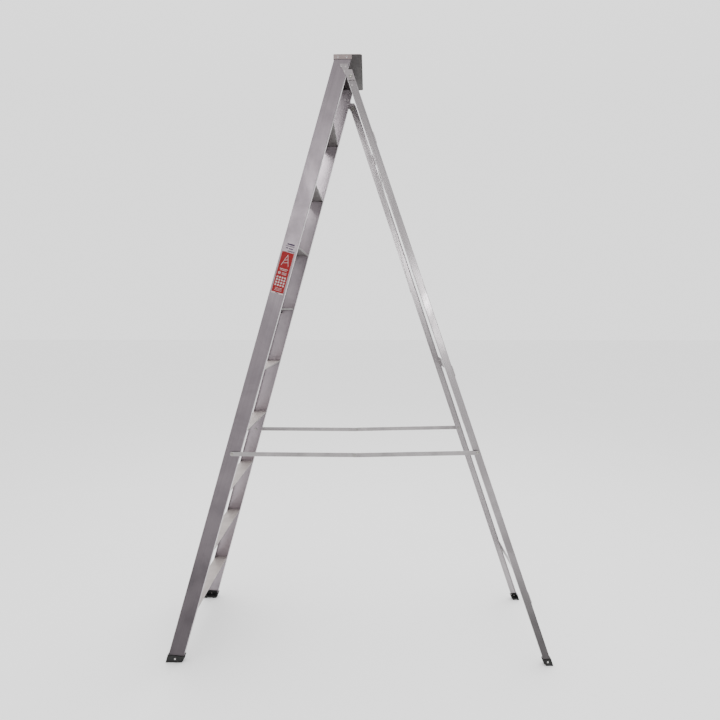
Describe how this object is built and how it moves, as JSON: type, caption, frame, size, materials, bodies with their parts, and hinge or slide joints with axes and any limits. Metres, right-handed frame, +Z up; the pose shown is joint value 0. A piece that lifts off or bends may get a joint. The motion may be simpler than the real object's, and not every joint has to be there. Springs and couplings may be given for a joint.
{
  "type": "folding stepladder",
  "caption": "Single-sided folding aluminium stepladder with ribbed treads, an overhanging top cap, a riveted rear frame, folding stays and rubber shoes.",
  "frame": {"origin": "floor level under the middle of the open ladder", "axes": "+Z up, X across the width, the climbing side faces -Y and the rear frame is towards +Y"},
  "size_m": [0.6838, 1.8468, 2.841],
  "materials": {
    "stile_aluminium": "extruded mill finish",
    "tread_aluminium": "extruded mill finish",
    "cap_aluminium": "extruded mill finish",
    "leg_aluminium": "extruded mill finish",
    "bar_aluminium": "extruded mill finish",
    "bracket_aluminium": "extruded mill finish",
    "rivet_aluminium": "extruded mill finish",
    "zinc_steel": "zinc plated",
    "nylon_bush": "moulded nylon",
    "shoe_rubber": "moulded rubber",
    "label_film": "printed film"
  },
  "bodies": {
    "front_frame": {"bracket_rivets": "rivet_aluminium", "cap_rivets": "rivet_aluminium", "front_shoe_left": "shoe_rubber", "front_shoe_right": "shoe_rubber", "front_shoe_rivets": "rivet_aluminium", "hinge_bolts": "zinc_steel", "hinge_bracket_left": "bracket_aluminium", "hinge_bracket_right": "bracket_aluminium", "hinge_nuts": "zinc_steel", "hinge_washers": "zinc_steel", "label": "label_film", "stay_front_pins": "rivet_aluminium", "stile_left": "stile_aluminium", "stile_right": "stile_aluminium", "top_cap": "cap_aluminium", "tread_1": "tread_aluminium", "tread_2": "tread_aluminium", "tread_3": "tread_aluminium", "tread_4": "tread_aluminium", "tread_5": "tread_aluminium", "tread_6": "tread_aluminium", "tread_7": "tread_aluminium", "tread_8": "tread_aluminium", "tread_9": "tread_aluminium", "tread_rivets": "rivet_aluminium"},
    "rear_frame": {"rear_leg_right": "leg_aluminium", "rear_leg_left": "leg_aluminium", "rear_shoe_right": "shoe_rubber", "rear_shoe_left": "shoe_rubber", "rear_shoe_rivets": "rivet_aluminium", "leg_top_rivets": "rivet_aluminium", "rear_bar_bottom": "bar_aluminium", "rear_bar_middle": "bar_aluminium", "rear_bar_top": "bar_aluminium", "rear_bar_rivets": "rivet_aluminium", "diagonal_strap": "bar_aluminium", "strap_rivets": "rivet_aluminium", "hinge_bushes": "nylon_bush", "stay_rear_pins": "rivet_aluminium"},
    "stay_front_right": {"stay_front_right": "bar_aluminium", "stay_middle_tail_right": "rivet_aluminium"},
    "stay_rear_right": {"stay_rear_right": "bar_aluminium", "stay_middle_rivet_right": "rivet_aluminium"},
    "stay_front_left": {"stay_front_left": "bar_aluminium", "stay_middle_tail_left": "rivet_aluminium"},
    "stay_rear_left": {"stay_rear_left": "bar_aluminium", "stay_middle_rivet_left": "rivet_aluminium"}
  },
  "joints": [
    {"name": "rear_frame_fold", "type": "hinge", "parent": "front_frame", "child": "rear_frame", "pos_m": [0, -0.03823, 2.743], "axis": [-1, 0, 0], "range_deg": [0, 34.8]},
    {"name": "stay_front_right_fold", "type": "hinge", "parent": "front_frame", "child": "stay_front_right", "pos_m": [0, -0.59476, 1.005], "axis": [1, 0, 0], "range_deg": [0, 69.71]},
    {"name": "stay_rear_right_fold", "type": "hinge", "parent": "rear_frame", "child": "stay_rear_right", "pos_m": [0, 0.55407, 1.016], "axis": [-1, 0, 0], "range_deg": [0, 71.19]},
    {"name": "stay_front_left_fold", "type": "hinge", "parent": "front_frame", "child": "stay_front_left", "pos_m": [0, -0.59476, 1.005], "axis": [1, 0, 0], "range_deg": [0, 69.71]},
    {"name": "stay_rear_left_fold", "type": "hinge", "parent": "rear_frame", "child": "stay_rear_left", "pos_m": [0, 0.55407, 1.016], "axis": [-1, 0, 0], "range_deg": [0, 71.19]}
  ],
  "couplings": [
    {"joint": "stay_front_right_fold", "follows": "rear_frame_fold", "ratio": 2.0018},
    {"joint": "stay_rear_right_fold", "follows": "rear_frame_fold", "ratio": 2.0442},
    {"joint": "stay_front_left_fold", "follows": "rear_frame_fold", "ratio": 2.0018},
    {"joint": "stay_rear_left_fold", "follows": "rear_frame_fold", "ratio": 2.0442}
  ]
}
